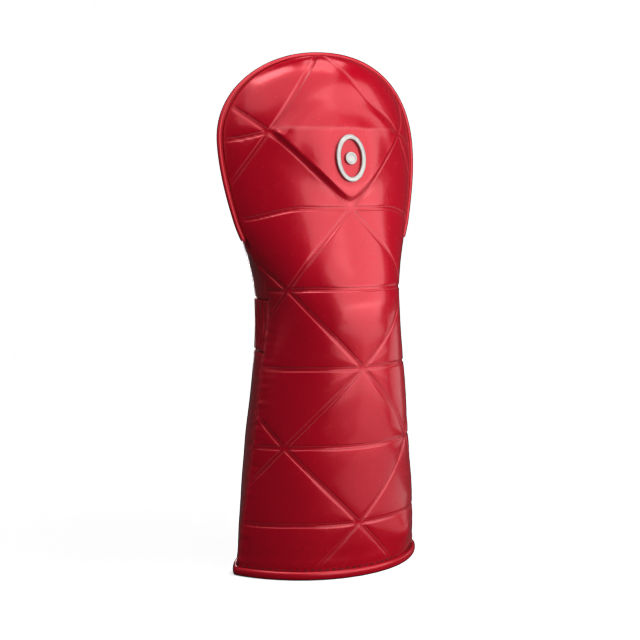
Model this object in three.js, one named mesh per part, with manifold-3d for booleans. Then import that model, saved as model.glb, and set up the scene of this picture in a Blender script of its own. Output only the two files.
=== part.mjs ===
// Driver head cover: a padded leather sock that stands on its hem.
// Millimetres. +Z up from the hem's rest plane, -Y the embossed front, origin under the middle.
import * as THREE from 'three';
import { LoftGeometry } from 'three/addons/geometries/LoftGeometry.js';
import Module from 'manifold-3d';

const wasm = await Module();
wasm.setup();

// ---- driving dimensions ----
const HEIGHT = 343; // top of the crown leather, without the piping
const CROWN_Z = 284; // the crown closes as a dome from here up
const DOME_POWER = 2.12; // 2 would be an ellipse, more is squarer
const PIPING_Z = 222; // the crown piping starts here on both sides
const THROAT = [148, 182]; // heights of the gathered back panel
const GAP = 0.3; // clearance between neighbouring pieces

// Every section is two arcs that meet at the side seams, set at a few heights.
const STATION_Z = [0, 34, 84, 134, 184, 234, CROWN_Z];
const HALF_WIDTH = [68.5, 66.5, 60.5, 54, 47.3, 65.3, 73];
const FRONT_DEPTH = [41, 39.5, 38.7, 39.5, 44.6, 36.8, 37.6];
const BACK_DEPTH = [46, 52, 56.5, 53.5, 54.5, 48.4, 42];
const SEAM_Y = [-2.6, -5.9, -8.9, -10.3, -7.2, 1.6, 9.4];
const APEX_FORWARD = 6.7; // the seam comes forward again over the crown

// Layers from the outside in: how far under the outer face each one starts and ends.
const LEATHER = [0, 1.2];
const FOAM = [2.05, 3.8];
const LINING = [4.5, 5.8];
const ELASTIC = [1.8, 2.8];

const ARC_STEPS = 14;
const GRID_SPANS = [[0, 134, 5], [134, 242, 10], [242, CROWN_Z, 3]]; // from, to, steps
const DOME_STEPS = 9;
const DOME_TURNS = Array.from({ length: DOME_STEPS - 1 }, (_, i) =>
  1.5 * Math.sin(Math.PI / 2 * (i + 1) / DOME_STEPS));
const PIPING_RADIUS = 1.2;
const PIPING_BORE = 0.72;
const PIPING_CORE = 0.48;
const PIPING_OUT = 0.5; // the piping's centre stands this far outside the seam
const FLANGE = { depth: 5, half: 0.4 };
const HEM_CORD = { radius: 1.1, inset: 2.75, z: 3 };
const HEM_TOP = 5.3; // outer leg of the hem binding
const HEM_INSIDE_TOP = 8;

const QUILT = 51.4; // one pitch of the embossed triangles, up and across
const EMBLEM_TOP = 293.4;
const EMBLEM_RISE = 3.2;
const EMBLEM_MARGIN = 2.5; // the raised triangle stops short of its grooves
const BADGE_Z = 274;
const BADGE_LIFT = 0.7; // the flat badge clears the curved leather by this at its middle
const BADGE = { width: 22, height: 31, band: 3.2, thick: 1.8, stud: 4.2 };
const POST = { radius: 0.9, hole: 1.2, reach: 8.2 };
const PLATE = { width: 12, height: 33, thick: 0.8, depth: 5.8 };
const CLIP = { radius: 2.6, thick: 0.6 };

const RED = 0xc4102c;
const finish = (color, roughness, metalness = 0) =>
  new THREE.MeshStandardMaterial({ color, roughness, metalness });

const group = new THREE.Group();

function add(name, geometry, material, parent = group) {
  const mesh = new THREE.Mesh(geometry, material);
  mesh.name = name;
  parent.add(mesh);
  return mesh;
}

// ---- shape of the cover ----
const outline = new THREE.CubicInterpolant(
  STATION_Z,
  STATION_Z.flatMap((z, i) => [HALF_WIDTH[i], FRONT_DEPTH[i], BACK_DEPTH[i]]),
  3
);
outline.settings = { endingStart: THREE.ZeroCurvatureEnding, endingEnd: THREE.ZeroSlopeEnding };
const seamLine = new THREE.CubicInterpolant(STATION_Z, SEAM_Y, 1);
const CROWN_LEAN = (SEAM_Y.at(-1) - SEAM_Y.at(-2)) / (CROWN_Z - STATION_Z.at(-2));

// The circle behind one side of a section: its radius and how far its centre is past the seam.
function circleOf(width, depth) {
  const angle = 2 * Math.atan2(depth, width);
  const radius = width / Math.sin(angle);
  return [radius, radius * Math.cos(angle)];
}

// The same shape in straight steps of height, so that the faceted layers stay nested.
const GRID_Z = GRID_SPANS.flatMap(([from, to, steps]) =>
  Array.from({ length: steps }, (_, i) => from + (to - from) * i / steps)).concat(CROWN_Z);
const faceted = new THREE.LinearInterpolant(
  GRID_Z,
  GRID_Z.flatMap(z => {
    const [width, front, back] = outline.evaluate(z);
    const [seam] = seamLine.evaluate(z);
    return [seam, width, ...circleOf(width, front), ...circleOf(width, back)];
  }),
  6
);

function sideCircle(z, side) {
  const [seam, width, ...circles] = faceted.evaluate(z);
  const [radius, centre] = side === 'front' ? circles : circles.slice(2);
  return { radius, centre, seam, width };
}

// A level is a height, and for the dome the share of the section that is left there.
// Levels at the same turn of the dome stay nested whatever their inset.
function level(z, inset = 0) {
  return { z, base: z, share: 1, inset, lean: 0 };
}

function domeLevel(turn, inset) {
  const rise = Math.sin(turn) ** (2 / DOME_POWER);
  const share = Math.cos(turn) ** (2 / DOME_POWER);
  const lean = CROWN_LEAN * (HEIGHT - CROWN_Z) * rise * (1 - rise) - APEX_FORWARD * rise ** 2;
  return { z: CROWN_Z + (HEIGHT - inset - CROWN_Z) * rise, base: CROWN_Z, share, inset, lean };
}

// The level where a layer comes down to nothing beside the strip that is kept clear.
function lastLevel(side, inset, clear) {
  const { radius, centre } = sideCircle(CROWN_Z, side);
  const share = clear / (radius - inset - centre);
  return domeLevel(Math.acos(share ** (DOME_POWER / 2)), inset);
}

// Half the arc, as an angle, left of a section when a strip beside the seam plane is taken away.
function halfAngle(at, side, clear) {
  const { radius, centre } = sideCircle(at.base, side);
  const cosine = (centre * at.share + clear) / ((radius - at.inset) * at.share);
  return Math.acos(Math.min(1, cosine));
}

function arcPoint(at, side, angle) {
  const { radius, centre, seam } = sideCircle(at.base, side);
  const r = (radius - at.inset) * at.share;
  const sign = side === 'front' ? -1 : 1;
  const y = seam + at.lean + sign * (r * Math.cos(angle) - centre * at.share);
  return new THREE.Vector3(r * Math.sin(angle), y, at.z);
}

// Points along one side of a section, from -X to +X.
function sideArc(at, side, clear, steps = ARC_STEPS) {
  const half = halfAngle(at, side, clear);
  return Array.from({ length: steps + 1 }, (_, i) => arcPoint(at, side, half * (2 * i / steps - 1)));
}

// A closed ring, counterclockwise from above, between two faces of the same layer.
function layerRing(outer, inner, side, clear) {
  const outside = sideArc(outer, side, clear);
  const inside = sideArc(inner, side, clear);
  const ring = [...outside, ...inside.reverse()];
  return side === 'front' ? ring : ring.reverse();
}

function heights(from, to) {
  return [from, ...GRID_Z.filter(z => z > from + 1 && z < to - 1), to];
}

// A curved sheet of one layer between two heights, and over the crown if it has no top.
function sheet(side, [start, end], from, to, clearAt) {
  const closes = to === undefined;
  const rings = heights(from, closes ? CROWN_Z : to).map(z =>
    layerRing(level(z, start), level(z, end), side, clearAt(z)));
  if (closes) {
    const clear = clearAt(CROWN_Z);
    for (const turn of DOME_TURNS) {
      rings.push(layerRing(domeLevel(turn, start), domeLevel(turn, end), side, clear));
    }
    rings.push(layerRing(lastLevel(side, start, clear), lastLevel(side, end, clear), side, clear));
  }
  return new LoftGeometry(rings, { capStart: true, capEnd: !closes });
}

// ---- solids joined and cut ----
function solid(geometry, matrix) {
  const g = geometry.index ? geometry.toNonIndexed() : geometry.clone();
  if (matrix) g.applyMatrix4(matrix);
  const points = g.attributes.position.array;
  const keys = new Map();
  const vertices = [];
  const triangles = [];
  for (let i = 0; i < points.length; i += 3) {
    const p = [points[i], points[i + 1], points[i + 2]];
    const key = p.map(v => Math.round(v * 1e4)).join();
    if (!keys.has(key)) {
      keys.set(key, vertices.length / 3);
      vertices.push(...p);
    }
    triangles.push(keys.get(key));
  }
  const mesh = new wasm.Mesh({
    numProp: 3,
    vertProperties: new Float32Array(vertices),
    triVerts: new Uint32Array(triangles)
  });
  return new wasm.Manifold(mesh);
}

function geometryOf(manifold) {
  const mesh = manifold.getMesh();
  const g = new THREE.BufferGeometry();
  g.setAttribute('position', new THREE.BufferAttribute(new Float32Array(mesh.vertProperties), 3));
  g.setIndex(new THREE.BufferAttribute(new Uint32Array(mesh.triVerts), 1));
  g.computeVertexNormals();
  return g;
}

// ---- outer leather ----
// The leather edges stand off the seam plane where the piping runs between them.
const leatherClear = z => (z >= PIPING_Z - 6 ? PIPING_RADIUS + GAP : GAP / 2);
const innerClear = () => FLANGE.half + GAP;

// The embossed triangle under the badge: a patch that points down, between two insets.
function emblemPatch(start, end, margin) {
  const bottom = EMBLEM_TOP - QUILT + margin * 2.4;
  const top = EMBLEM_TOP - margin;
  const rings = [0, 0.25, 0.5, 0.75, 1].map(t => {
    const z = bottom + (top - bottom) * t;
    const reach = 1.5 + (z - bottom);
    const arcs = [start, end].map(inset => {
      const at = z > CROWN_Z ? domeAt(z, inset) : level(z, inset);
      const angle = reach / (sideCircle(at.base, 'front').radius * at.share);
      return Array.from({ length: 13 }, (_, i) => arcPoint(at, 'front', angle * (i / 6 - 1)));
    });
    return [...arcs[0], ...arcs[1].reverse()];
  });
  return new LoftGeometry(rings, { capStart: true, capEnd: true });
}

// The dome level whose outer face is at a given height.
function domeAt(z, inset) {
  const rise = ((z - CROWN_Z) / (HEIGHT - CROWN_Z)) ** (DOME_POWER / 2);
  return { ...domeLevel(Math.asin(rise), inset), z };
}

function badgeFrame() {
  const surface = z => arcPoint(level(z), 'front', 0);
  const up = surface(BADGE_Z + 2).sub(surface(BADGE_Z - 2)).normalize();
  const across = new THREE.Vector3(1, 0, 0);
  const out = new THREE.Vector3().crossVectors(across, up).normalize();
  const place = surface(BADGE_Z).addScaledVector(out, EMBLEM_RISE + BADGE_LIFT);
  return new THREE.Matrix4().makeBasis(across, up, out).setPosition(place);
}

const POSTS = [[0, BADGE.height / 2 - BADGE.band / 2], [0, 0], [0, BADGE.band / 2 - BADGE.height / 2]];

function rod(radius, length, [x, y], top, sides = 16) {
  const g = new THREE.CylinderGeometry(radius, radius, length, sides);
  return g.rotateX(Math.PI / 2).translate(x, y, top - length / 2);
}

function drilled(geometry, radius, reach) {
  const frame = badgeFrame();
  return POSTS.reduce(
    (body, at) => body.subtract(solid(rod(radius, reach, at, 2), frame)),
    geometry
  );
}

function frontPanel() {
  const shell = solid(sheet('front', LEATHER, 2, undefined, leatherClear));
  const raised = solid(emblemPatch(-EMBLEM_RISE, LEATHER[0] + 0.4, EMBLEM_MARGIN));
  const pocket = solid(emblemPatch(-EMBLEM_RISE + LEATHER[1], LEATHER[1] + 1, EMBLEM_MARGIN + 1.4));
  return geometryOf(drilled(shell.add(raised).subtract(pocket), POST.hole, 12));
}

function emblemPad() {
  const pad = solid(emblemPatch(-EMBLEM_RISE + LEATHER[1] + GAP, LEATHER[1], EMBLEM_MARGIN + 1.8));
  return geometryOf(drilled(pad, POST.hole, 14));
}

function addLeather() {
  add('front_panel', frontPanel(), finish(RED, 0.36));
  const back = (from, to) => sheet('back', LEATHER, from, to, leatherClear);
  add('back_skirt_panel', back(2, THROAT[0] - GAP / 2), finish(RED, 0.38));
  add('back_throat_panel', back(THROAT[0] + GAP / 2, THROAT[1] - GAP / 2), finish(RED, 0.45));
  add('back_crown_panel', back(THROAT[1] + GAP / 2), finish(RED, 0.38));
}

// ---- padding, lining and elastic ----
function frontPadding() {
  const foam = solid(sheet('front', FOAM, 7, undefined, innerClear));
  const window = new THREE.BoxGeometry(PLATE.width + 3, PLATE.height + 3, 12);
  window.translate(0, 0, -7.5);
  return geometryOf(foam.subtract(solid(window, badgeFrame())));
}

function addInside() {
  const foam = () => finish(0x3a3a3c, 0.95);
  const fleece = () => finish(0x1c1c1f, 1);
  const elastic = () => finish(0x262628, 0.85);
  add('emblem_pad', emblemPad(), foam());
  add('front_padding', frontPadding(), foam());
  add('back_skirt_padding', sheet('back', FOAM, 7, THROAT[0] - 2, innerClear), foam());
  add('back_crown_padding', sheet('back', FOAM, THROAT[1] + 2, undefined, innerClear), foam());
  add('front_lining', sheet('front', LINING, 2, undefined, innerClear), fleece());
  add('back_lining', sheet('back', LINING, 2, undefined, innerClear), fleece());
  const bandWidth = 11;
  const spare = (THROAT[1] - THROAT[0] - 2 * bandWidth) / 3;
  ['lower', 'upper'].forEach((which, i) => {
    const from = THROAT[0] + spare + i * (bandWidth + spare);
    const band = sheet('back', ELASTIC, from, from + bandWidth, innerClear);
    add('throat_elastic_' + which, band, elastic());
  });
}

// ---- piping over the crown ----
// Points of the side seam from a height on the left, over the top, to the right.
function seamPath(out) {
  const dome = [...DOME_TURNS, Math.PI / 2].map(turn => domeLevel(turn, 0));
  const half = [...heights(PIPING_Z, CROWN_Z).map(z => level(z)), ...dome].map(at => {
    const { width, seam } = sideCircle(at.base, 'front');
    return new THREE.Vector3(-width * at.share, seam + at.lean, at.z);
  });
  const whole = [...half, ...half.slice(0, -1).reverse().map(p => new THREE.Vector3(-p.x, p.y, p.z))];
  return whole.map((p, i) => {
    const along = whole[Math.min(i + 1, whole.length - 1)].clone().sub(whole[Math.max(i - 1, 0)]);
    const outward = new THREE.Vector3(-along.z, 0, along.x).normalize();
    return { point: p.clone().addScaledVector(outward, out), outward };
  });
}

// Sweeps a flat profile of [outward, across] points along the seam, and past its ends by overrun.
function alongSeam(profile, overrun = 0) {
  const across = new THREE.Vector3(0, -1, 0);
  const path = seamPath(PIPING_OUT);
  if (overrun) {
    const past = end => ({ ...end, point: end.point.clone().setZ(end.point.z - overrun) });
    path.unshift(past(path[0]));
    path.push(past(path.at(-1)));
  }
  const rings = path.map(({ point, outward }) =>
    profile.map(([o, a]) => point.clone().addScaledVector(outward, o).addScaledVector(across, a)));
  return new LoftGeometry(rings, { capStart: true, capEnd: true });
}

function circleProfile(radius, sides, from = 0, turn = 2 * Math.PI) {
  const steps = turn < 2 * Math.PI ? sides : sides - 1;
  return Array.from({ length: steps + 1 }, (_, i) => {
    const angle = from + turn * i / sides;
    return [radius * Math.cos(angle), radius * Math.sin(angle)];
  });
}

function addPiping() {
  const neck = Math.asin(FLANGE.half / PIPING_RADIUS);
  const sleeve = circleProfile(PIPING_RADIUS, 8, neck - Math.PI, 2 * (Math.PI - neck));
  const reach = -FLANGE.depth;
  const keyhole = [...sleeve, [reach, FLANGE.half], [reach, -FLANGE.half]];
  const bore = circleProfile(PIPING_BORE, 8);
  const core = circleProfile(PIPING_CORE, 8);
  const tube = solid(alongSeam(keyhole)).subtract(solid(alongSeam(bore, 2)));
  add('crown_piping', geometryOf(tube), finish(RED, 0.34));
  add('crown_piping_cord', alongSeam(core), finish(0xe8e2d6, 0.9));
}

// ---- hem ----
// The outline at the hem with the direction into the cover at each point.
function hemOutline(z) {
  const front = sideArc(level(z), 'front', 0);
  const back = sideArc(level(z), 'back', 0).reverse();
  const loop = [...front, ...back.slice(1, -1)];
  return loop.map((p, i) => {
    const before = loop[(i + loop.length - 1) % loop.length];
    const after = loop[(i + 1) % loop.length];
    const a = p.clone().sub(before).normalize();
    const b = after.clone().sub(p).normalize();
    const along = a.clone().add(b).normalize();
    const inward = new THREE.Vector3(-along.y, along.x, 0);
    return { point: p, inward: inward.divideScalar(along.dot(a)) };
  });
}

// Sweeps a closed profile of [inset, height] points round the hem.
function roundHem(profile) {
  const tracks = profile.map(([inset, z]) =>
    hemOutline(z).map(({ point, inward }) => point.clone().addScaledVector(inward, inset)));
  const rings = tracks[0].map((_, i) => tracks.map(track => track[i]));
  return new LoftGeometry([...rings, rings[0]]);
}

function addHem() {
  const inside = LINING[1] + 2 * GAP;
  const profile = [
    [-GAP, HEM_TOP], [-GAP, 1.4], [inside, 1.4], [inside, HEM_INSIDE_TOP],
    [inside + 1.2, HEM_INSIDE_TOP], [inside + 1.2, 1.2], [inside + 0.4, 0],
    [-0.4, 0], [-1.5, 0.8], [-2, 2.6], [-1.7, 4.4], [-1, HEM_TOP]
  ];
  add('hem_binding', roundHem(profile.reverse()), finish(RED, 0.36));
  const cord = circleProfile(HEM_CORD.radius, 8).map(([x, y]) => [HEM_CORD.inset + x, HEM_CORD.z + y]);
  add('hem_cord', roundHem(cord), finish(0xe8e2d6, 0.9));
}

// ---- badge ----
function ellipse(width, height) {
  return new THREE.Shape().absellipse(0, 0, width / 2, height / 2, 0, 2 * Math.PI);
}

function plate(shape, thick, bevel, steps = 24) {
  return new THREE.ExtrudeGeometry(shape, {
    depth: thick - bevel, curveSegments: steps,
    bevelEnabled: bevel > 0, bevelThickness: bevel, bevelSize: bevel, bevelOffset: -bevel, bevelSegments: 1
  });
}

function addBadge() {
  const badge = new THREE.Group();
  badge.applyMatrix4(badgeFrame());
  group.add(badge);
  const silver = () => finish(0xd9d6d2, 0.25, 0.9);
  const steel = () => finish(0x9a9a9c, 0.4, 0.8);
  const rim = ellipse(BADGE.width, BADGE.height);
  const opening = ellipse(BADGE.width - 2 * BADGE.band, BADGE.height - 2 * BADGE.band);
  const ring = solid(plate(rim, BADGE.thick, 0.5)).subtract(
    solid(plate(opening, BADGE.thick + 4, 0).translate(0, 0, -2)));
  const post = at => solid(rod(POST.radius, POST.reach, at, 0.5));
  const cast = ring.add(post(POSTS[0])).add(post(POSTS[2]));
  add('badge_ring', geometryOf(cast), silver(), badge);
  const boss = solid(new THREE.CylinderGeometry(BADGE.stud - 0.7, BADGE.stud, BADGE.thick, 24)
    .rotateX(Math.PI / 2).translate(0, 0, BADGE.thick / 2));
  add('badge_stud', geometryOf(boss.add(post(POSTS[1]))), silver(), badge);
  addBadgeFixing(badge, steel);
}

function addBadgeFixing(badge, steel) {
  const back = solid(new THREE.BoxGeometry(PLATE.width, PLATE.height, PLATE.thick)
    .translate(0, 0, -PLATE.depth - PLATE.thick / 2));
  const holes = POSTS.reduce((body, at) => body.subtract(solid(rod(POST.hole, 20, at, 5))), back);
  add('badge_backing_plate', geometryOf(holes), steel(), badge);
  POSTS.forEach((at, i) => {
    const top = -PLATE.depth - PLATE.thick - GAP;
    const washer = solid(rod(CLIP.radius, CLIP.thick, at, top))
      .subtract(solid(rod(POST.radius + 0.15, CLIP.thick + 2, at, top + 1)));
    add('badge_clip_' + ['upper', 'middle', 'lower'][i], geometryOf(washer), steel(), badge);
  });
}

// ---- blank care label, sewn to the lining inside the skirt ----
function addLabel() {
  const [from, to, half] = [14, 44, 11];
  const rings = [from, (from + to) / 2, to].map(z => {
    const arcs = [LINING[1] + GAP, LINING[1] + GAP + 0.5].map(inset => {
      const angle = half / (sideCircle(z, 'back').radius - inset);
      return Array.from({ length: 5 }, (_, i) => arcPoint(level(z, inset), 'back', angle * (i / 2 - 1)));
    });
    return [...arcs[0], ...arcs[1].reverse()].reverse();
  });
  const label = new LoftGeometry(rings, { capStart: true, capEnd: true });
  add('care_label', label, finish(0xf2f0ec, 0.9));
}

addLeather();
addPiping();
addHem();
addInside();
addBadge();
addLabel();

export default group;
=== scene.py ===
"""Padded driver head cover: embossed leather panels, piping, hem, foam, lining and badge."""

import math

import bmesh
import bpy
import numpy as np
from mathutils import Matrix, Vector


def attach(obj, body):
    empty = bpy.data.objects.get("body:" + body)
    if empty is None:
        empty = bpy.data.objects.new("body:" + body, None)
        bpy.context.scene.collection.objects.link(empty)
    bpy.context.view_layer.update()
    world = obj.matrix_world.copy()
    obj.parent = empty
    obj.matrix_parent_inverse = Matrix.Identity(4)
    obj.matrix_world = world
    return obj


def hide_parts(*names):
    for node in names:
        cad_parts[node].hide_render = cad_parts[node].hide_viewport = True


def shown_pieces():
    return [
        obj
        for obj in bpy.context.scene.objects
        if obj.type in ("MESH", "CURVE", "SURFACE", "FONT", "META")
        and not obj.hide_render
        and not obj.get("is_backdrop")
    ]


bl_info = {
    "name": "Padded Driver Head Cover",
    "version": (1, 0, 0),
    "blender": (4, 5, 0),
    "location": "View3D > Sidebar > Head Cover",
    "description": "Builds a padded leather head cover with embossed front, piping, hem and badge",
    "category": "Add Mesh",
}

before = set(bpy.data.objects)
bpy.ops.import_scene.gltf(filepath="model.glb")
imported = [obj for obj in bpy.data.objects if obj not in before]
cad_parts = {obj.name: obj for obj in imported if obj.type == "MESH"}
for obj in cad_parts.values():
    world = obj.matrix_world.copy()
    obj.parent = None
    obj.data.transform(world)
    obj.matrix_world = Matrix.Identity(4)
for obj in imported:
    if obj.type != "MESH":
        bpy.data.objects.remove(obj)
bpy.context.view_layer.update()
MM = 0.001

# ---- shape of the cover, in millimetres ----
HEIGHT = 343
CROWN_Z = 284
DOME_POWER = 2.12
STATION_Z = (0, 34, 84, 134, 184, 234, CROWN_Z)
HALF_WIDTH = (68.5, 66.5, 60.5, 54, 47.3, 65.3, 73)
FRONT_DEPTH = (41, 39.5, 38.7, 39.5, 44.6, 36.8, 37.6)
BACK_DEPTH = (46, 52, 56.5, 53.5, 54.5, 48.4, 42)
SEAM_Y = (-2.6, -5.9, -8.9, -10.3, -7.2, 1.6, 9.4)
APEX_FORWARD = 6.7
CROWN_LEAN = (SEAM_Y[-1] - SEAM_Y[-2]) / (CROWN_Z - STATION_Z[-2])
DOME_ROWS, DOME_SEAM = 76, 110  # lengths that set how finely the dome is divided
SEAM_CLEAR = (0.15, 1.5)
PIPING_Z = 222
PIPING_OUT = 0.5
PIPING_RADIUS = 1.42
CORD_BORE = 0.7
THROAT = (148, 182)
PANEL_GAP = 0.15
HEM_TOP = 7
STITCH_Z = 6.3
QUILT = 51.4
EMBLEM_TOP = 293.4
EMBLEM_TIP = EMBLEM_TOP - QUILT
EMBLEM_DRAPE = 20
BADGE_Z = 274
BADGE_LIFT = 3.9
BADGE_SIZE = (22, 31)
BADGE_BAND = 3.2
FOAM = (2.05, 3.8)
LINING = (4.5, 5.8)
ELASTIC = (1.8, 2.8)
ELASTIC_WIDTH = 11


def smooth(t):
    """A soft step from 0 to 1."""
    t = np.clip(t, 0, 1)
    return t * t * (3 - 2 * t)


def hump(value, centre, width):
    """1 at a centre, and falling away on both sides over a width."""
    return np.exp(-(((value - centre) / width) ** 2))


def beside(*parts):
    """Arrays or single numbers set side by side in a last axis."""
    return np.stack(np.broadcast_arrays(*parts), axis=-1)


def through_stations(z, values, level_top=True):
    """A smooth curve through the values at the stations."""
    knots = np.array(STATION_Z, float)
    values = np.array(values, float)
    secants = np.diff(values) / np.diff(knots)
    last = 0 if level_top else secants[-1]
    slopes = np.concatenate(([secants[0]], (secants[1:] + secants[:-1]) / 2, [last]))
    z = np.clip(np.asarray(z, float), 0, CROWN_Z)
    i = np.clip(np.searchsorted(knots, z, side="right") - 1, 0, len(knots) - 2)
    span = knots[i + 1] - knots[i]
    t = (z - knots[i]) / span
    return (
        (2 * t**3 - 3 * t**2 + 1) * values[i]
        + (t**3 - 2 * t**2 + t) * span * slopes[i]
        + (3 * t**2 - 2 * t**3) * values[i + 1]
        + (t**3 - t**2) * span * slopes[i + 1]
    )


def side_circle(base, side):
    """Radius of one side of a section, and how far its centre is past the seam."""
    width = through_stations(base, HALF_WIDTH)
    depth = through_stations(base, FRONT_DEPTH if side == "front" else BACK_DEPTH)
    angle = 2 * np.arctan2(depth, width)
    radius = width / np.sin(angle)
    return radius, radius * np.cos(angle)


def dome(turn, inset=0.0):
    """Height, share of the section and lean at a turn of the dome over the crown."""
    rise = np.sin(turn) ** (2 / DOME_POWER)
    share = np.cos(turn) ** (2 / DOME_POWER)
    lean = CROWN_LEAN * (HEIGHT - CROWN_Z) * rise * (1 - rise) - APEX_FORWARD * rise**2
    return (HEIGHT - inset - CROWN_Z) * rise, share, lean


def layer_rows(side, start, end, step, inset, clear, ratio):
    """Base heights and dome turns of a layer's rows; with no end it closes over the crown."""
    closes = end is None
    top = CROWN_Z if closes else end
    count = max(1, round((top - start) / step / ratio)) * ratio
    base = np.linspace(start, top, count + 1)
    turn = np.zeros(count + 1)
    if closes:
        radius, centre = side_circle(CROWN_Z, side)
        share = clear / (radius - inset - centre)
        last = np.arccos(share ** (DOME_POWER / 2))
        count = max(1, round(DOME_ROWS / step / ratio)) * ratio
        turns = np.linspace(0, last, count + 1)[1:]
        base = np.concatenate((base, np.full(count, float(CROWN_Z))))
        turn = np.concatenate((turn, turns))
    return base, turn


class Grid:
    """Points of one face of a layer, row by row from the hem up, with normals and flat coordinates."""

    def __init__(self, side, base, turn, inset, clear, columns, edge_bias=0.35, reach=None):
        rise, share, lean = dome(turn, inset)
        radius, centre = side_circle(base, side)
        seam = through_stations(base, SEAM_Y, level_top=False)
        r = (radius - inset) * share
        if reach is None:
            half = np.arccos(np.clip((centre * share + clear) / r, -1, 1))
            half[turn == turn.max()] *= 0.0 if turn.max() > 0 else 1.0
        else:
            half = reach / r
        t = np.linspace(-1, 1, columns + 1)
        u = (1 - edge_bias) * t + edge_bias * np.sin(t * np.pi / 2)
        angle = half[:, None] * u
        sign = -1 if side == "front" else 1
        x = r[:, None] * np.sin(angle)
        depth = r[:, None] * np.cos(angle) - (centre * share)[:, None]
        y = (seam + lean)[:, None] + sign * depth
        z = np.broadcast_to((base + rise)[:, None], x.shape)
        self.points = beside(x, y, z)
        self.across = angle * (radius * share)[:, None]
        self.up = z
        self.from_edge = (half[:, None] - np.abs(angle)) * r[:, None]
        self.base = np.broadcast_to(base[:, None], x.shape)
        outward = beside(np.sin(angle), sign * np.cos(angle), 0.02)
        self.normals = surface_normals(self.points, outward)


def surface_normals(points, outward):
    """Normals of a grid of points, turned to the outward side, with one normal where rows meet in a pole."""
    along = np.gradient(points, axis=0)
    across = np.gradient(points, axis=1)
    normal = np.cross(across, along)
    length = np.linalg.norm(normal, axis=-1, keepdims=True)
    weak = length[..., 0] < 1e-6
    normal = normal / np.maximum(length, 1e-9)
    facing = np.sum(normal * outward, axis=-1, keepdims=True)
    middle = points.shape[1] // 2
    normal *= np.sign(facing[points.shape[0] // 2, middle])
    if weak[-1].any():
        normal[-1] = normal[-2, middle]
    return normal


# ---- embossing ----
def fold_distance(value, pitch):
    """Distance to the nearest multiple of a pitch."""
    return np.abs((value + pitch / 2) % pitch - pitch / 2)


def stretched(grid):
    """Place on the flat pattern: its lines dip towards the side seams, and lean over the crown."""
    across, up = grid.across, grid.up
    low_dip, high_dip = 1.2, 7.2
    right_lean, left_lean = 11, 8
    dip = (high_dip - low_dip) * smooth((up - 178) / 50) + low_dip
    out = np.clip(1 - grid.from_edge / (grid.from_edge + np.abs(across) + 1e-6), 0, 1)
    right = right_lean * smooth((up - EMBLEM_TOP) / 22)
    left = left_lean * smooth((up - EMBLEM_TOP) / 46)
    side = smooth((across + 12) / 24)
    return across + left + (right - left) * side, up + dip * smooth((out - 0.4) / 0.6)


def pattern_distance(across, up):
    """Distance to the nearest embossed line of the triangle pattern."""
    level = fold_distance(up - EMBLEM_TOP, QUILT)
    rising = fold_distance(up - across - EMBLEM_TIP, 2 * QUILT) / math.sqrt(2)
    falling = fold_distance(up + across - EMBLEM_TIP, 2 * QUILT) / math.sqrt(2)
    return np.minimum(level, np.minimum(rising, falling))


def inside_emblem(across, up, blend=2.6):
    """Distance inside the raised triangle, rounded where its edges meet."""
    top = EMBLEM_TOP - up
    sides = (up - EMBLEM_TIP - np.abs(across)) / math.sqrt(2)
    h = np.clip(0.5 + 0.5 * (sides - top) / blend, 0, 1)
    return sides * (1 - h) + top * h - blend * h * (1 - h)


def ripple(across, up, seed, size):
    """Slow uneven swelling of hand-stretched leather."""
    random = np.random.default_rng(seed)
    total = np.zeros_like(across)
    for _ in range(7):
        direction = random.uniform(0, math.pi)
        length = random.uniform(28, 70)
        phase = random.uniform(0, 2 * math.pi)
        wave = (across * math.cos(direction) + up * math.sin(direction)) * 2 * math.pi / length
        total += np.sin(wave + phase)
    return total * size / 7


def rolled_edge(distance, radius):
    """How far a turned edge drops below the face, at a distance from its fold."""
    t = np.clip(1 - distance / radius, 0, 1)
    return radius * (1 - np.sqrt(1 - 0.98 * t * t))


def badge_basis():
    """Middle of the badge, and the directions up and out of the front there."""

    def face(z):
        y = through_stations(z, SEAM_Y, level_top=False) - through_stations(z, FRONT_DEPTH)
        return Vector((0, float(y), z))

    up = (face(BADGE_Z + 2) - face(BADGE_Z - 2)).normalized()
    out = Vector((1, 0, 0)).cross(up).normalized()
    return face(BADGE_Z) + out * BADGE_LIFT, up, out


def emblem_height(grid, rise):
    """Height of the raised triangle, with a flat seat under the badge."""
    seat_radius, seat_blend = 15, 20
    low_share, high_share = 0.58, 1.04
    foot, edge_width, soft_tip = 0.7, 1.2, 4.5
    lift_share, lift_reach, blend = 0.42, 13, 14
    place, _, out = badge_basis()
    below = (np.array(place) - grid.points) @ np.array(out)
    away = np.hypot(grid.across, grid.up - BADGE_Z)
    seat = 1 - smooth((away - seat_radius) / seat_blend)
    share = low_share + (high_share - low_share) * smooth((grid.up - EMBLEM_TIP) / QUILT)
    face = rise * share
    top = face + (np.minimum(below - 0.15, rise + 1.7) - face) * seat
    sides = (grid.up - EMBLEM_TIP - np.hypot(grid.across, soft_tip)) / math.sqrt(2)
    lifted = lift_share * np.clip(1 + (sides - foot) / lift_reach, 0, 1) ** 2
    lifted = lifted * smooth((grid.up - EMBLEM_TIP + 2) / blend) * smooth((EMBLEM_TOP + 2 - grid.up) / blend)
    bevel = lifted + (1 - lifted) * np.sin(np.clip((sides - foot) / edge_width, 0, 1) * np.pi / 2) ** 0.8
    over = np.clip(grid.up - EMBLEM_TOP, 0, None)
    corner = smooth((QUILT - np.abs(grid.across) - 1.2 * over) / 16)
    drape = np.clip(1 - over / EMBLEM_DRAPE, 0, 1) ** 1.4 * corner
    below_top = smooth((EMBLEM_TOP - grid.up) / 5)
    return top * bevel * (drape + (1 - drape) * below_top)


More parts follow.
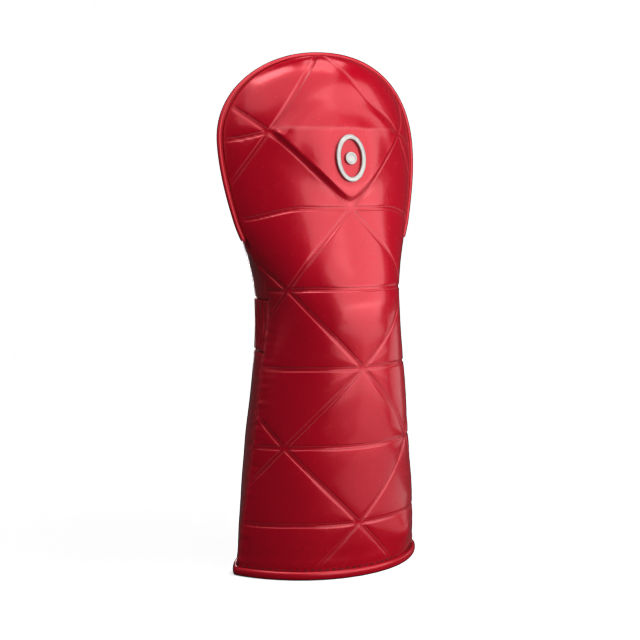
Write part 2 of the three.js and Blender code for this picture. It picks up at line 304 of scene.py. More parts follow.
# ---- meshes ----
def closed_shell(name, outer, inner, ratio, pole, fields=None):
    """A closed mesh between a fine outer grid and an inner grid with ratio times fewer steps."""
    rows, columns = outer.shape[0] - 1, outer.shape[1] - 1
    points = np.concatenate((outer.reshape(-1, 3), inner.reshape(-1, 3))) * MM
    wide = columns + 1
    index = np.arange((rows + 1) * wide).reshape(rows + 1, wide)
    offset = index.size
    low = offset + np.arange(inner.shape[0] * inner.shape[1]).reshape(inner.shape[:2])

    def quads(grid):
        return beside(grid[:-1, :-1], grid[:-1, 1:], grid[1:, 1:], grid[1:, :-1]).reshape(-1, 4)

    faces = quads(index).tolist() + quads(low)[:, ::-1].tolist()

    def rim(fine, coarse):
        for i in range(len(coarse) - 1):
            strip = fine[i * ratio : (i + 1) * ratio + 1].tolist()
            faces.append(strip[::-1] + [int(coarse[i]), int(coarse[i + 1])])

    rim(index[0], low[0])
    rim(index[:, -1], low[:, -1])
    rim(index[::-1, 0], low[::-1, 0])
    if not pole:
        rim(index[-1, ::-1], low[-1, ::-1])
    mesh = bpy.data.meshes.new(name)
    mesh.from_pydata(points.tolist(), [], faces)
    for field, values in (fields or {}).items():
        width = values.size // offset
        data = np.zeros((len(points), width), np.float32)
        data[:offset] = values.reshape(offset, width)
        kind, key = ("FLOAT", "value") if width == 1 else ("FLOAT_VECTOR", "vector")
        mesh.attributes.new(field, kind, "POINT").data.foreach_set(key, data.ravel())
    return mesh


def ring_mesh(name, rings, closed_path, caps=False):
    """A tube through rings of points, closed round each ring, and end to end or capped."""
    count, around = rings.shape[:2]
    index = np.arange(count * around).reshape(count, around)
    ahead = np.roll(index, -1, axis=0) if closed_path else index[1:]
    here = index if closed_path else index[:-1]
    side = beside(here, np.roll(here, -1, axis=1), np.roll(ahead, -1, axis=1), ahead)
    faces = side.reshape(-1, 4).tolist()
    if caps:
        faces += [index[0, ::-1].tolist(), index[-1].tolist()]
    mesh = bpy.data.meshes.new(name)
    mesh.from_pydata((rings.reshape(-1, 3) * MM).tolist(), [], faces)
    return mesh


def full_turn(steps):
    """Even angles round a circle."""
    return np.linspace(0, 2 * math.pi, steps + 1)[:-1]


def round_rings(profile, steps, y=0.0):
    """Rings round an upright axis, one for each radius and height of a profile."""
    turns = full_turn(steps)
    x_turn, y_turn = np.cos(turns), np.sin(turns)
    return np.stack([beside(r * x_turn, y + r * y_turn, h) for r, h in profile])


def tidy_mesh(mesh, sharp=50):
    """Merges a pole's doubles, turns faces outwards and shades smooth up to an angle in degrees."""
    bm = bmesh.new()
    bm.from_mesh(mesh)
    bmesh.ops.remove_doubles(bm, verts=bm.verts, dist=1e-6)
    bmesh.ops.dissolve_degenerate(bm, edges=bm.edges, dist=1e-7)
    bmesh.ops.recalc_face_normals(bm, faces=bm.faces)
    bm.to_mesh(mesh)
    bm.free()
    mesh.shade_smooth()
    mesh.set_sharp_from_angle(angle=math.radians(sharp))
    return mesh


def add_object(name, data):
    thing = bpy.data.objects.new(name, data)
    bpy.context.scene.collection.objects.link(thing)
    return thing


def add_piece(name, mesh, finish, slot, *nodes):
    """Puts a mesh in the scene with its finish, in place of the CAD nodes it stands for, which it hides; the
    slot is not used.
    """
    mesh.materials.clear()
    mesh.materials.append(material(finish))
    piece = add_object(name, mesh)
    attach(piece, "root")
    if nodes:
        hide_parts(*nodes)
    return piece


def join_meshes(name, *meshes):
    """A new mesh that holds the faces of all the others."""
    bm = bmesh.new()
    for mesh in meshes:
        bm.from_mesh(mesh)
    joined = bpy.data.meshes.new(name)
    bm.to_mesh(joined)
    bm.free()
    return joined


# ---- materials ----
class Nodes:
    """A node tree, filled by short calls."""

    def __init__(self, tree):
        self.tree = tree

    def feed(self, socket, value):
        """Links a value to a socket, or sets it there."""
        if isinstance(value, bpy.types.NodeSocket):
            self.tree.links.new(value, socket)
        else:
            socket.default_value = value

    def add(self, kind, settings=None, **inputs):
        node = self.tree.nodes.new(kind)
        for key, value in (settings or {}).items():
            setattr(node, key, value)
        for key, value in inputs.items():
            self.feed(node.inputs[key.replace("_", " ")], value)
        return node

    def maths(self, first, second, operation="ADD"):
        node = self.add("ShaderNodeMath", {"operation": operation})
        for socket, value in zip(node.inputs, (first, second)):
            self.feed(socket, value)
        return node.outputs[0]


class Finish(Nodes):
    """The node tree of one of the cover's finishes."""

    def __init__(self, name):
        self.material = bpy.data.materials.new(name)
        self.material.use_nodes = True
        super().__init__(self.material.node_tree)
        self.shader = self.tree.nodes["Principled BSDF"]

    def place(self, scale=(1, 1, 1)):
        coordinates = self.add("ShaderNodeTexCoord").outputs["Object"]
        return self.add("ShaderNodeMapping", Vector=coordinates, Scale=scale).outputs["Vector"]

    def noise(self, scale, detail=3.0, stretch=(1, 1, 1)):
        place = self.place(stretch)
        return self.add("ShaderNodeTexNoise", Vector=place, Scale=scale, Detail=detail).outputs["Fac"]

    def cells(self, scale, **settings):
        place = self.place()
        return self.add("ShaderNodeTexVoronoi", settings, Vector=place, Scale=scale).outputs["Distance"]

    def spread(self, value, low, high, start=0.3, end=0.7):
        """A value stretched from one range to another."""
        limits = {"From_Min": start, "From_Max": end, "To_Min": low, "To_Max": high}
        return self.add("ShaderNodeMapRange", Value=value, **limits).outputs["Result"]

    def field(self, name, output="Fac"):
        """A value that the piece's mesh carries."""
        return self.add("ShaderNodeAttribute", {"attribute_name": name}).outputs[output]

    def pattern_line(self, half, width):
        """1 on the two fine lines beside each embossed channel, from the panel's flat coordinates."""
        parts = self.add("ShaderNodeSeparateXYZ", Vector=self.field("flat_place", "Vector")).outputs
        across, up = parts["X"], parts["Y"]
        level = self.maths(up, QUILT / 2, "PINGPONG")
        slanted = [
            self.maths(self.maths(self.maths(up, across, direction), QUILT, "PINGPONG"), 2**0.5, "DIVIDE")
            for direction in ("SUBTRACT", "ADD")
        ]
        near = self.maths(level, self.maths(*slanted, "MINIMUM"), "MINIMUM")
        off = self.maths(self.maths(near, half, "SUBTRACT"), 0.0, "ABSOLUTE")
        return self.spread(off, 1, 0, 0, width)

    def mix(self, factor, first, second):
        node = self.add("ShaderNodeMix", {"data_type": "RGBA"})
        for socket, value in ((0, factor), (6, first), (7, second)):
            self.feed(node.inputs[socket], value)
        return node.outputs[2]

    def finish(self, colour, roughness, height=None, depth=0.0002, strength=0.5, **constants):
        """Ends the tree; constants are values that are the same all over, set on the shader itself."""
        self.feed(self.shader.inputs["Base Color"], colour)
        self.feed(self.shader.inputs["Roughness"], roughness)
        if height is not None:
            bump = self.add("ShaderNodeBump", Height=height, Distance=depth, Strength=strength)
            self.feed(self.shader.inputs["Normal"], bump.outputs["Normal"])
        for key, value in constants.items():
            self.shader.inputs[key.replace("_", " ")].default_value = value
        return self.material


def shade(colour, factor):
    """A colour made darker or lighter, with alpha."""
    return (colour[0] * factor, colour[1] * factor, colour[2] * factor, 1)


def leather_finish(name, colour, roughness, grooved):
    """Satin dyed hide: fine grain and faint stretch lines; when grooved, painted shade in the channels and
    on the turned seam edges, and painted highlights on the fine lines beside the channels, the seam edges
    and the ridge of the raised triangle.
    """
    n = Finish(name)
    dye = n.spread(n.noise(24, 1.5), 0, 1, 0.25, 0.75)
    tone = n.mix(dye, shade(colour, 0.95), shade(colour, 1.03))
    pores = n.spread(n.cells(1500, feature="DISTANCE_TO_EDGE"), 0, 0.5, 0, 0.25)
    grain = n.maths(pores, n.noise(900, 2))
    stretch = n.maths(n.noise(260, 3, (1, 1, 0.16)), 2.2, "MULTIPLY")
    height = n.maths(grain, stretch)
    if grooved:
        line_depth, line_highlight, edge_highlight, paler = 14.0, 0.7, 0.5, 0.07
        line = n.maths(n.pattern_line(1.25, 0.45), n.field("emboss"), "MULTIPLY")
        # Painted shade: the colour darkens in the embossed channels and on the turned seam edges.
        tone = n.mix(n.maths(n.field("painted_shade"), 0.5, "MULTIPLY"), tone, shade(colour, 0.7))
        # Painted highlight: the fine lines beside each channel, the seam edges and the ridge of the raised
        # triangle are mixed towards this paler colour.
        highlight_tone = (min(1, colour[0] * 1.1), colour[1] + paler, colour[2] + paler, 1)
        # Painted highlight on the fold of the seam edges and along the ridge of the raised triangle.
        edge = n.maths(n.field("painted_highlight"), edge_highlight, "MULTIPLY")
        tone = n.mix(n.maths(n.maths(line, line_highlight, "MULTIPLY"), edge), tone, highlight_tone)
        height = n.maths(height, n.maths(line, line_depth, "MULTIPLY"), "SUBTRACT")
    rough = n.spread(n.noise(120, 3), roughness - 0.04, roughness + 0.05)
    coat = {"Coat_Weight": 0.35, "Coat_Roughness": 0.1, "Coat_IOR": 1.45}
    return n.finish(tone, rough, height, 0.00005, 0.35, Metallic=0.24, Specular_IOR_Level=0.5, **coat)


def metal_finish(name, colour, roughness, lines):
    """Cast or brushed metal, with fine lines one way."""
    n = Finish(name)
    tone = n.mix(n.noise(90, 3), shade(colour, 0.94), shade(colour, 1.0))
    brushed = n.noise(lines, 2, (0.12, 1, 1))
    rough = n.spread(n.noise(240, 3), roughness - 0.06, roughness + 0.08)
    return n.finish(tone, rough, brushed, 0.00003, 0.3, Metallic=1.0)


def foam_finish(name, colour):
    """Open-cell foam."""
    n = Finish(name)
    cells = n.cells(1100)
    tone = n.mix(cells, shade(colour, 0.7), shade(colour, 1.15))
    return n.finish(tone, 0.95, cells, 0.0003, 0.7)


def cloth_finish(name, colour, scale, sheen):
    """Woven or knitted cloth: two crossed sets of threads with fuzz over them."""
    n = Finish(name)
    weft, warp = (
        n.add(
            "ShaderNodeTexWave",
            {"wave_type": "BANDS", "bands_direction": direction},
            Vector=n.place(),
            Scale=scale,
            Distortion=1.2,
        ).outputs["Fac"]
        for direction in ("Z", "X")
    )
    height = n.maths(n.maths(weft, warp, "MULTIPLY"), n.noise(scale * 2.4, 3))
    tone = n.mix(n.spread(height, 0, 1, 0.3, 1.3), shade(colour, 0.65), shade(colour, 1.2))
    return n.finish(tone, 0.92, height, 0.0004, 0.7, Sheen_Weight=sheen, Sheen_Roughness=0.45)


# ---- what a user may change ----
def length_property(name, description, default, least, most):
    limits = {"default": default, "min": least, "max": most}
    return bpy.props.FloatProperty(
        name=name, description=description, subtype="DISTANCE", unit="LENGTH", **limits
    )


def colour_property(name, description, default):
    return bpy.props.FloatVectorProperty(
        name=name, description=description, default=default, size=3, min=0, max=1, subtype="COLOR"
    )


class HeadCoverSizes(bpy.types.PropertyGroup):
    leather: length_property("Leather thickness", "Thickness of the outer hide", 0.0012, 0.0006, 0.002)
    groove_width: length_property("Groove width", "Width of the embossed channels", 0.0025, 0.001, 0.005)
    groove_depth: length_property("Groove depth", "Depth of the embossed channels", 0.0005, 0.0, 0.0012)
    emblem_rise: length_property("Raised triangle", "How far the triangle stands out", 0.0032, 0.0, 0.006)
    rib_spacing: length_property("Rib spacing", "Between the piping's slanted ribs", 0.0016, 0.0008, 0.005)
    stitch_spacing: length_property("Stitch spacing", "From one hem stitch to the next", 0.0048, 0.002, 0.01)


class HeadCoverColours(bpy.types.PropertyGroup):
    leather: colour_property("Leather", "Dye of the outer hide", (0.62, 0.002, 0.02))
    # The stitches are real, but their thread is darker than the leather: painted shade of the fold above the
    # hem.
    thread: colour_property("Thread", "Hem stitching", (0.20, 0.003, 0.012))
    metal: colour_property("Badge", "Satin silver of the badge", (0.5, 0.49, 0.47))
    steel: colour_property("Fixings", "Plate and washers behind the badge", (0.45, 0.45, 0.46))
    foam: colour_property("Foam", "Padding between leather and lining", (0.05, 0.05, 0.055))
    lining: colour_property("Lining", "Fleece inside the cover", (0.018, 0.018, 0.02))
    label: colour_property("Label", "Blank woven label", (0.82, 0.81, 0.78))
    floor: colour_property("Floor", "Plain pale floor", (0.9, 0.9, 0.9))


def sizes():
    return bpy.context.scene.head_cover_sizes


def colours():
    return bpy.context.scene.head_cover_colours


_materials = {}


def material(name):
    """Each finish of the cover, made once."""
    if name not in _materials:
        c = colours()
        makers = {
            "embossed_leather": lambda: leather_finish(name, c.leather, 0.24, True),
            "rolled_leather": lambda: leather_finish(name, c.leather, 0.32, False),
            "satin_silver": lambda: metal_finish(name, c.metal, 0.42, 700),
            "brushed_steel": lambda: metal_finish(name, c.steel, 0.42, 1100),
            "pad_foam": lambda: foam_finish(name, c.foam),
            "fleece": lambda: cloth_finish(name, c.lining, 420, 0.35),
            "elastic": lambda: cloth_finish(name, c.lining, 700, 0.1),
            "filler_cotton": lambda: cloth_finish(name, c.label, 900, 0.1),
            "woven_label": lambda: cloth_finish(name, c.label, 1400, 0.1),
            "thread": lambda: cloth_finish(name, c.thread, 1800, 0.1),
        }
        _materials[name] = makers[name]()
    return _materials[name]


def finish_nodes(name, *nodes):
    """Gives CAD nodes that stay a procedural finish."""
    for node in nodes:
        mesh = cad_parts[node].data
        mesh.materials.clear()
        mesh.materials.append(material(name))


# ---- leather panels ----
def leather_clear(base):
    """The strip kept free beside the seam plane: wide where the piping runs."""
    narrow, wide = SEAM_CLEAR
    return narrow + (wide - narrow) * smooth((base - (PIPING_Z - 12)) / 10)


def seam_roll(grid, distance):
    """How far a panel's edge turns in at its seam, more where the piping runs."""
    tight, full = 0.9, 2.0
    radius = tight + (full - tight) * smooth((grid.base - (PIPING_Z - 14)) / 14)
    return rolled_edge(distance, radius)


def below_piping(z):
    """1 below the ends of the piping, and 0 beside it."""
    return 1 - smooth((z - (PIPING_Z - 17)) / 20)


def seam_highlight_line(grid):
    """1 on the fold of a panel's edge, where a painted highlight goes."""
    return hump(grid.from_edge, 0.9, 0.6) * (0.35 + 0.65 * below_piping(grid.up))


def ridge_highlight_line(grid):
    """1 along the fold at the top of the raised triangle, most at its left, where a painted highlight goes.
    """
    ends = smooth((QUILT - np.abs(grid.across)) / 9)
    return hump(grid.up, EMBLEM_TOP, 0.9) * ends * (1 - 0.55 * smooth((grid.across + 25) / 60))


def billow(grid):
    """A full fold of the skirt just above the hem, on one side."""
    height = 3.2
    return height * hump(grid.across, 45, 13) * hump(grid.up, 22, 12)


def hem_pinch(grid):
    """The panel is drawn in where it is stitched to the hem, and full just above."""
    full, drawn_in = 0.35, 0.45
    return full * hump(grid.up, 10.5, 3.2) - drawn_in * hump(grid.up, 6.0, 1.3)


def pucker(grid, seed):
    """Small creases that run in from the side seam below the piping."""
    random = np.random.default_rng(seed)
    z = grid.up
    waves = sum(np.sin(z * 2 * np.pi / random.uniform(5, 14) + random.uniform(0, 6.3)) for _ in range(5))
    height, reach = 0.5, 5.0
    return waves / 5 * np.exp(-grid.from_edge / reach) * below_piping(z) * height


def panel(name, side, start, end, step, columns, relief):
    """A leather panel: relief gives its outer height, its inner height and fields for its finish."""
    ratio = 4
    thickness = sizes().leather / MM
    base, turn = layer_rows(side, start, end, step, 0, SEAM_CLEAR[1], ratio)
    grid = Grid(side, base, turn, 0, leather_clear(base), columns)
    outer_height, inner_height, fields = relief(grid)
    outer = grid.points + grid.normals * outer_height[..., None]
    inner = grid.points + grid.normals * (inner_height - thickness)[..., None]
    return closed_shell(name, outer, inner[::ratio, ::ratio], ratio, end is None, fields)


def front_relief(grid):
    """The embossed triangles with soft leather between them, and the raised one."""
    s = sizes()
    depth, half = s.groove_depth / MM, s.groove_width / MM / 2
    wall, lip_height, pad_swell = 0.7, 0.06, 0.45
    across, up = stretched(grid)
    distance = pattern_distance(across, up)
    inside = inside_emblem(grid.across, grid.up)
    top_edge = hump(grid.up, EMBLEM_TOP, 5) * smooth((QUILT - np.abs(grid.across) - 4) / 6)
    off_emblem = (1 - smooth((inside + 1.0) / 1.2)) * (1 - top_edge)
    soft_end = smooth(grid.from_edge / 9) * smooth((grid.up - 6) / 8)
    channel = (1 - smooth((distance - half + wall / 2) / wall)) * soft_end * off_emblem
    lip = hump(distance, half + 0.3, 0.4) * soft_end * off_emblem
    pillow = 1 - np.exp(-((distance / 5) ** 1.3))
    swell = pad_swell * pillow * smooth(grid.from_edge / 12) * smooth((grid.up - 8) / 14)
    body = swell + ripple(grid.across, grid.up, 11, 0.3) + hem_pinch(grid) + billow(grid)
    body = body * (1 - smooth((inside - 1) / 3))
    emblem = emblem_height(grid, s.emblem_rise / MM)
    roll = seam_roll(grid, grid.from_edge)
    outer = body + emblem - channel * depth + lip_height * lip - roll + pucker(grid, 5)
    inner = emblem - roll + np.minimum(body, 0)
    fields = {
        # Painted shade: mask for a darker colour in the channels and on the turned seam edge.
        "painted_shade": np.clip(channel * 0.6 + (roll - 0.5) / 0.8, 0, 1),
        "emboss": soft_end * off_emblem,
        # Painted highlight: mask for a paler colour on the seam edge and the ridge of the raised triangle.
        "painted_highlight": seam_highlight_line(grid) + 1.5 * ridge_highlight_line(grid),
        "flat_place": beside(across, up - EMBLEM_TIP + 2 * QUILT, 0.0),
    }
    return outer, inner, fields


def gathers(grid, low, high, seed):
    """The uneven pleats that an elastic draws between two heights."""
    middle, half = (low + high) / 2, (high - low) / 2
    pleat = 6.2
    swell = np.clip(1 - ((grid.up - middle) / half) ** 2, 0, 1)
    random = np.random.default_rng(seed)
    phase = sum(
        random.uniform(0.6, 1.2) * np.sin(grid.across / random.uniform(9, 22) + random.uniform(0, 6.3))
        for _ in range(4)
    )
    drift = 0.5 * np.sin((grid.up - middle) * 0.13 + grid.across / 17)
    pleats = 1 - 2 * np.abs(np.sin(grid.across * np.pi / pleat + phase / 2 + drift)) ** 0.8
    return swell**0.5 * (0.25 + 0.5 * pleats)


def back_relief(low, high, seed, gather=0.0):
    """The relief of a plain panel with turned ends where it has them, gathered or not."""

    def relief(grid):
        z = grid.up
        far = np.full(z.shape, 99.0)
        ends = np.minimum(far if low is None else z - low, far if high is None else high - z)
        body = ripple(grid.across, z, seed, 0.45)
        if low is None:
            body = body + hem_pinch(grid)
        if gather:
            body = body - gather * gathers(grid, low, high, seed) + 0.1
        roll = np.maximum(seam_roll(grid, grid.from_edge), rolled_edge(ends, 1.0))
        outer = body - roll + pucker(grid, seed + 1)
        inner = np.minimum(body, 0) - roll
        fields = {
            # Painted shade: mask for a darker colour on the turned edges.
            "painted_shade": np.clip((roll - 0.4) / 0.8, 0, 1),
            "emboss": np.zeros(z.shape),
            # Painted highlight: mask for a paler colour on the seam edge.
            "painted_highlight": seam_highlight_line(grid),
        }
        return outer, inner, fields

    return relief


class HEADCOVER_OT_front_panel(bpy.types.Operator):
    """Front panel with the embossed triangles and the raised one under the badge"""

    bl_idname = "head_cover.front_panel"
    bl_label = "Front Panel"

    def execute(self, context):
        mesh = panel("front_leather", "front", 2, None, 0.9, 192, front_relief)
        add_piece("front_leather", tidy_mesh(mesh), "embossed_leather", "red_leather", "front_panel")
        return {"FINISHED"}


class HEADCOVER_OT_back_panels(bpy.types.Operator):
    """Plain crown and skirt panels of the back, and the gathered throat between them"""

    bl_idname = "head_cover.back_panels"
    bl_label = "Back Panels"

    def execute(self, context):
        low, high = THROAT
        below, above = low + PANEL_GAP, high - PANEL_GAP
        skirt, crown = low - PANEL_GAP, high + PANEL_GAP
        plans = (
            ("back_skirt", 2, skirt, 1.25, 144, back_relief(None, skirt, 21)),
            ("back_throat", below, above, 0.9, 224, back_relief(below, above, 31, gather=1.1)),
            ("back_crown", crown, None, 1.25, 144, back_relief(crown, None, 41)),
        )
        for part, start, end, step, columns, relief in plans:
            name = part + "_leather"
            mesh = panel(name, "back", start, end, step, columns, relief)
            add_piece(name, tidy_mesh(mesh), "embossed_leather", "red_leather", part + "_panel")
        return {"FINISHED"}


# ---- piping ----
def seam_path(step, out):
    """Points of the side seam from the left, over the crown, to the right, with outward directions."""
    z = np.linspace(PIPING_Z, CROWN_Z, round((CROWN_Z - PIPING_Z) / step) + 1)
    turn = np.linspace(0, math.pi / 2, round(DOME_SEAM / step))[1:]
    base = np.concatenate((z, np.full(len(turn), float(CROWN_Z))))
    rise, share, lean = dome(np.concatenate((np.zeros(len(z)), turn)))
    share = np.where(share < 1e-6, 0, share)
    x = -through_stations(base, HALF_WIDTH) * share
    y = through_stations(base, SEAM_Y, level_top=False) + lean
    half = beside(x, y, base + rise)
    other = half[:-1][::-1] * np.array((-1, 1, 1))
    path = np.concatenate((half, other))
    along = np.gradient(path, axis=0)
    outward = beside(-along[:, 2], 0.0, along[:, 0])
    outward /= np.linalg.norm(outward, axis=-1, keepdims=True)
    return path + outward * out, outward


def swept(path, outward, profile):
    """Rings of a profile carried along the side seam."""
    across = np.array((0.0, -1.0, 0.0))
    return path[:, None, :] + outward[:, None, :] * profile[None, :, :1] + across * profile[None, :, 1:]


def path_curve(name, points, closed=False):
    """A curve of straight steps for a geometry tree to follow."""
    curve = bpy.data.curves.new(name, "CURVE")
    curve.dimensions = "3D"
    spline = curve.splines.new("POLY")
    spline.points.add(len(points) - 1)
    places = np.concatenate((points * MM, np.ones((len(points), 1))), axis=1)
    spline.points.foreach_set("co", places.ravel())
    spline.use_cyclic_u = closed
    return add_object(name, curve)


def beads_tree(name, shape):
    """A tree that sets a small shape at even steps along a curve, leaned over and drawn out to match."""
    tree = bpy.data.node_groups.new(name, "GeometryNodeTree")
    face = tree.interface
    face.new_socket("Geometry", in_out="INPUT", socket_type="NodeSocketGeometry")
    inputs = {label: "NodeSocketFloat" for label in ("Spacing", "Radius", "Length", "Tilt")}
    inputs["Finish"] = "NodeSocketMaterial"
    sockets = {}
    for label, kind in inputs.items():
        sockets[label] = face.new_socket(label, in_out="INPUT", socket_type=kind).identifier
    face.new_socket("Geometry", in_out="OUTPUT", socket_type="NodeSocketGeometry")
    n = Nodes(tree)
    given = n.add("NodeGroupInput").outputs
    points = {"Curve": given["Geometry"], "Length": given["Spacing"]}
    steps = n.add("GeometryNodeCurveToPoints", {"mode": "LENGTH"}, **points).outputs
    turn = n.add("FunctionNodeAlignRotationToVector", {"axis": "Z"}, Vector=steps["Tangent"])
    longer = n.maths(1.0, n.maths(given["Tilt"], 0.0, "COSINE"), "DIVIDE")
    size = n.add("ShaderNodeCombineXYZ", X=1.0, Y=longer, Z=1.0).outputs["Vector"]
    lean = n.add("ShaderNodeCombineXYZ", X=given["Tilt"]).outputs["Vector"]
    bead = n.add("GeometryNodeTransform", Geometry=shape(n, given), Scale=size).outputs["Geometry"]
    bead = n.add("GeometryNodeTransform", Geometry=bead, Rotation=lean).outputs["Geometry"]
    places = {"Points": steps["Points"], "Rotation": turn.outputs["Rotation"]}
    copies = n.add("GeometryNodeInstanceOnPoints", Instance=bead, **places)
    real = n.add("GeometryNodeRealizeInstances", Geometry=copies.outputs["Instances"]).outputs["Geometry"]
    painted = n.add("GeometryNodeSetMaterial", Geometry=real, Material=given["Finish"]).outputs["Geometry"]
    n.add("NodeGroupOutput", Geometry=painted)
    return tree, sockets


def rib_shape(n, given):
    """A thin ring round the path."""
    circle = "GeometryNodeCurvePrimitiveCircle"
    ring = n.add(circle, Resolution=12, Radius=given["Radius"]).outputs["Curve"]
    wire = n.add(circle, Resolution=5, Radius=given["Length"]).outputs["Curve"]
    return n.add("GeometryNodeCurveToMesh", Curve=ring, Profile_Curve=wire).outputs["Mesh"]


def stitch_shape(n, given):
    """A stitch: a small bead drawn out along the path."""
    ball = n.add("GeometryNodeMeshUVSphere", Segments=8, Rings=6, Radius=1.0).outputs["Mesh"]
    size = n.add("ShaderNodeCombineXYZ", X=given["Radius"], Y=given["Radius"], Z=given["Length"])
    return n.add("GeometryNodeTransform", Geometry=ball, Scale=size.outputs["Vector"]).outputs["Geometry"]


def beads_mesh(name, curve, shape, finish, **amounts):
    """Runs the tree on a curve and returns the result as a plain mesh."""
    tree, sockets = beads_tree(name, shape)
    modifier = curve.modifiers.new(name, "NODES")
    modifier.node_group = tree
    for label, value in amounts.items():
        modifier[sockets[label]] = value
    modifier[sockets["Finish"]] = finish
    graph = bpy.context.evaluated_depsgraph_get()
    mesh = bpy.data.meshes.new_from_object(curve.evaluated_get(graph))
    if not len(mesh.polygons):
        raise RuntimeError(f"{name} made no faces")
    curve.modifiers.remove(modifier)
    bpy.data.objects.remove(curve)
    mesh.shade_smooth()
    return mesh


class HEADCOVER_OT_piping(bpy.types.Operator):
    """Ribbed piping over the crown, with its flange between the panels"""

    bl_idname = "head_cover.piping"
    bl_label = "Crown Piping"

    def execute(self, context):
        path, outward = seam_path(1.3, PIPING_OUT)
        turns = full_turn(14)
        circle = beside(np.cos(turns), np.sin(turns))
        sleeve = ring_mesh("sleeve", swept(path, outward, circle * PIPING_RADIUS), False)
        bore = ring_mesh("bore", swept(path, outward, circle * CORD_BORE), False)
        wall = join_meshes("piping_wall", sleeve, bore)
        bm = bmesh.new()
        bm.from_mesh(wall)
        bmesh.ops.bridge_loops(bm, edges=[e for e in bm.edges if e.is_boundary and e.verts[0].co.x < 0])
        bmesh.ops.bridge_loops(bm, edges=[e for e in bm.edges if e.is_boundary])
        bm.to_mesh(wall)
        bm.free()
        near, far, half = -1.25, -5.2, 0.38
        flange = np.array(((near, half), (far, half), (far, -half), (near, -half)))
        flap = ring_mesh("piping_flange", swept(path, outward, flange), False, caps=True)
        body = tidy_mesh(join_meshes("piping_body", wall, flap))
        fine, _ = seam_path(0.9, PIPING_OUT)
        ribs = beads_mesh(
            "piping_ribs",
            path_curve("piping_path", fine),
            rib_shape,
            material("rolled_leather"),
            Spacing=sizes().rib_spacing,
            Radius=1.3 * MM,
            Length=0.27 * MM,
            Tilt=0.75,
        )
        mesh = join_meshes("piping", body, ribs)
        mesh.shade_smooth()
        mesh.set_sharp_from_angle(angle=math.radians(50))
        add_piece("piping", mesh, "rolled_leather", "red_leather", "crown_piping")
        finish_nodes("filler_cotton", "crown_piping_cord", "hem_cord")
        return {"FINISHED"}


# ---- hem ----
def hem_outline(z, steps=120):
    """The outline at a height, and the direction into the cover at each point."""
    sides = []
    for side in ("front", "back"):
        grid = Grid(side, np.array((float(z), z + 1.0)), np.zeros(2), 0, 0.0, steps, edge_bias=0.2)
        sides.append(grid.points[0])
    loop = np.concatenate((sides[0], sides[1][::-1][1:-1]))
    along = np.roll(loop, -1, axis=0) - np.roll(loop, 1, axis=0)
    along /= np.linalg.norm(along, axis=-1, keepdims=True)
    for _ in range(2):
        along = (np.roll(along, 1, axis=0) + 2 * along + np.roll(along, -1, axis=0)) / 4
    along /= np.linalg.norm(along, axis=-1, keepdims=True)
    inward = beside(-along[:, 1], along[:, 0], 0.0)
    return loop, inward


def cut_corners(profile, times):
    """A closed profile with its corners rounded."""
    for _ in range(times):
        ahead = np.roll(profile, -1, axis=0)
        near, far = profile * 0.75 + ahead * 0.25, profile * 0.25 + ahead * 0.75
        profile = np.stack((near, far), axis=1).reshape(-1, 2)
    return profile


class HEADCOVER_OT_hem(bpy.types.Operator):
    """Rolled hem with the row of stitches above it"""

    bl_idname = "head_cover.hem"
    bl_label = "Hem"

    def execute(self, context):
        inside = ((-0.2, 5.2), (-0.2, 1.4), (6.4, 1.4), (6.4, 8.0), (7.6, 8.0), (7.6, 1.0))
        foot = ((6.6, 0.0), (4.0, 0.0), (0.4, 0.0), (-1.6, 0.1))
        welt = ((-2.5, 1.4), (-2.7, 3.0), (-2.4, 4.6), (-1.2, 5.7))
        section = cut_corners(np.array(inside + foot + welt), 2)
        rings = []
        for inset, z in section:
            loop, inward = hem_outline(max(z, 0.0))
            span = np.cumsum(np.linalg.norm(np.diff(loop, axis=0, append=loop[:1]), axis=-1))
            on_welt = inset < -0.6 and z > 0.4
            wrinkle = ripple(span, np.full(span.shape, z * 3.0), 61, 0.22) if on_welt else 0 * span
            ring = loop + inward * (inset - wrinkle)[:, None]
            ring[:, 2] = z
            rings.append(ring)
        mesh = ring_mesh("hem_roll", np.stack(rings, axis=1), True)
        add_piece("hem_roll", tidy_mesh(mesh, 70), "rolled_leather", "red_leather", "hem_binding")
        loop, inward = hem_outline(STITCH_Z, 200)
        # These stitches sit in the fold above the hem; their dark thread is painted shade there.
        stitches = beads_mesh(
            "hem_stitches",
            path_curve("stitch_path", loop - inward * 0.12, closed=True),
            stitch_shape,
            material("thread"),
            Spacing=sizes().stitch_spacing,
            Radius=0.42 * MM,
            Length=1.75 * MM,
            Tilt=0.0,
        )
        add_piece("hem_stitches", stitches, "thread", "red_leather")
        return {"FINISHED"}


# ---- padding, lining, elastic, label ----
def inner_layer(name, side, start, end, insets, step, columns, clear=0.7, relief=None, reach=None):
    """A closed layer between two insets, with an optional relief on the face turned inwards."""
    base, turn = layer_rows(side, start, end, step, insets[0], clear, 1)
    outer = Grid(side, base, turn, insets[0], clear, columns, reach=reach)
    inner = Grid(side, base, turn, insets[1], clear, columns, reach=reach)
    points = inner.points
    if relief is not None:
        points = points - inner.normals * relief(inner)[..., None]
    return closed_shell(name, outer.points, points, 1, end is None)


def fleece_pile(grid):
    """Uneven pile of brushed fleece: fine tufts on slower swells."""
    tufts = ripple(grid.across * 6, grid.up * 6, 71, 0.35)
    return 0.2 + tufts + ripple(grid.across * 2, grid.up * 2, 72, 0.3)


def elastic_ribs(grid):
    """Fine upright ribs of knitted elastic."""
    return 0.12 * np.sin(grid.across * 2 * np.pi / 2.4) * smooth(grid.from_edge / 2)


